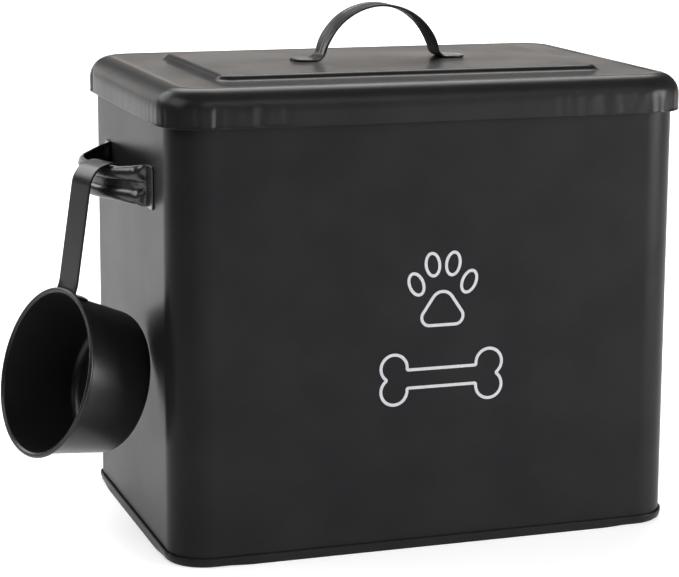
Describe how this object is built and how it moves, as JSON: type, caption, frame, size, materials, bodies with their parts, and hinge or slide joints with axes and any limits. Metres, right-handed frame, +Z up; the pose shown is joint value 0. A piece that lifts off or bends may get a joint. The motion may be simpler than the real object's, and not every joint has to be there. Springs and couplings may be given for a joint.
{
  "type": "pet food bin with scoop",
  "caption": "Rectangular sheet-steel pet food bin with a rounded lift-off lid, strap handles and a hooked scoop that hangs on a side handle.",
  "frame": {"origin": "centre of the bin's footprint, on the surface it stands on", "axes": "+Z up; the printed front faces -Y; the scoop hangs on the -X side"},
  "size_m": [0.3992, 0.2092, 0.2957],
  "materials": {
    "bin_paint": "satin black powder coat",
    "lid_paint": "satin black powder coat",
    "handle_paint": "semi-gloss black powder coat",
    "scoop_paint": "satin black powder coat",
    "print_ink": "matt pale grey screen-print ink",
    "rim_wire_steel": "bare drawn wire, hidden in the rim"
  },
  "bodies": {
    "bin": {"body_wall": "bin_paint", "base_pan": "bin_paint", "rim_wire": "rim_wire_steel", "left_handle": "handle_paint", "right_handle": "handle_paint", "paw_print": "print_ink", "bone_print": "print_ink"},
    "lid": {"lid_shell": "lid_paint", "lid_handle": "handle_paint"},
    "scoop": {"scoop_cup": "scoop_paint", "scoop_handle": "scoop_paint"}
  },
  "joints": [
    {"name": "lid_lift", "type": "slide", "parent": "bin", "child": "lid", "axis": [0, 0, 1], "range_m": [0, 0.15]},
    {"name": "scoop_lift", "type": "slide", "parent": "bin", "child": "scoop", "axis": [0, 0, 1], "range_m": [0, 0.032]}
  ]
}
